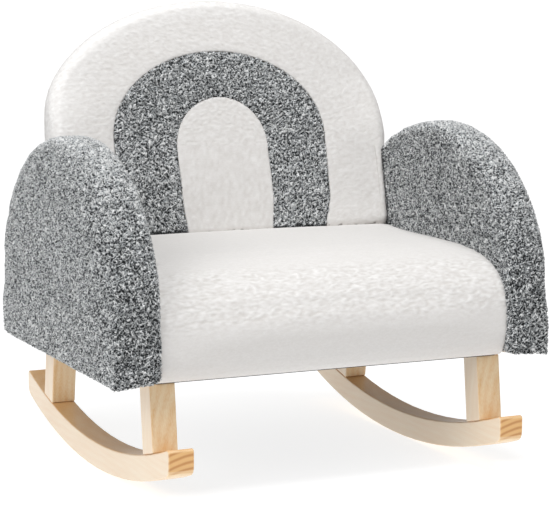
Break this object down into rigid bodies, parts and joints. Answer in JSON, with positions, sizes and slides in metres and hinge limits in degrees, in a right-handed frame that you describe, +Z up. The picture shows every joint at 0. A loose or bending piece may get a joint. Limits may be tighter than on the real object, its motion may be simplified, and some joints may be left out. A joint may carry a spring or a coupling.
{
  "type": "child rocking chair",
  "caption": "Low rocking armchair for a small child: padded seat, rounded arms and an arched back of nested sewn panels, on splayed legs and curved wooden runners.",
  "frame": {"origin": "on the floor, midway between the two runners, at the lowest point of their curve", "axes": "+Z up, -Y towards the front of the seat, +X to the right of someone who faces the chair"},
  "size_m": [0.5596, 0.513, 0.5588],
  "materials": {
    "runner_wood": "clear satin lacquer over pale solid wood",
    "frame_wood": "bare sawn softwood",
    "dowel_wood": "bare hardwood dowel",
    "plywood": "bare plywood",
    "steel": "zinc plated",
    "padding_foam": "open-cell foam",
    "white_cloth": "off-white curly fleece",
    "grey_cloth": "flecked grey looped fleece",
    "dust_cloth": "black non-woven cloth"
  },
  "bodies": {
    "root": {"arm_board_left": "plywood", "arm_board_right": "plywood", "arm_cover_left": "grey_cloth", "arm_cover_right": "grey_cloth", "arm_foam_left": "padding_foam", "arm_foam_right": "padding_foam", "arm_front_left_bolt": "steel", "arm_front_left_insert": "steel", "arm_front_right_bolt": "steel", "arm_front_right_insert": "steel", "arm_rear_left_bolt": "steel", "arm_rear_left_insert": "steel", "arm_rear_right_bolt": "steel", "arm_rear_right_insert": "steel", "back_arch_panel": "grey_cloth", "back_band_cover": "white_cloth", "back_board": "plywood", "back_centre_panel": "white_cloth", "back_foam": "padding_foam", "back_left_bolt": "steel", "back_left_insert": "steel", "back_rear_cover": "white_cloth", "back_right_bolt": "steel", "back_right_insert": "steel", "corner_block_front_left": "frame_wood", "corner_block_front_right": "frame_wood", "corner_block_rear_left": "frame_wood", "corner_block_rear_right": "frame_wood", "dowel_front_left_inner": "dowel_wood", "dowel_front_left_outer": "dowel_wood", "dowel_front_right_inner": "dowel_wood", "dowel_front_right_outer": "dowel_wood", "dowel_rear_left_inner": "dowel_wood", "dowel_rear_left_outer": "dowel_wood", "dowel_rear_right_inner": "dowel_wood", "dowel_rear_right_outer": "dowel_wood", "dust_cover": "dust_cloth", "leg_bolt_front_left": "steel", "leg_bolt_front_right": "steel", "leg_bolt_rear_left": "steel", "leg_bolt_rear_right": "steel", "leg_front_left": "runner_wood", "leg_front_right": "runner_wood", "leg_nut_front_left": "steel", "leg_nut_front_right": "steel", "leg_nut_rear_left": "steel", "leg_nut_rear_right": "steel", "leg_rear_left": "runner_wood", "leg_rear_right": "runner_wood", "rail_front": "frame_wood", "rail_left": "frame_wood", "rail_rear": "frame_wood", "rail_right": "frame_wood", "runner_left": "runner_wood", "runner_right": "runner_wood", "seat_cover": "white_cloth", "seat_deck": "plywood", "seat_foam": "padding_foam"}
  },
  "joints": []
}
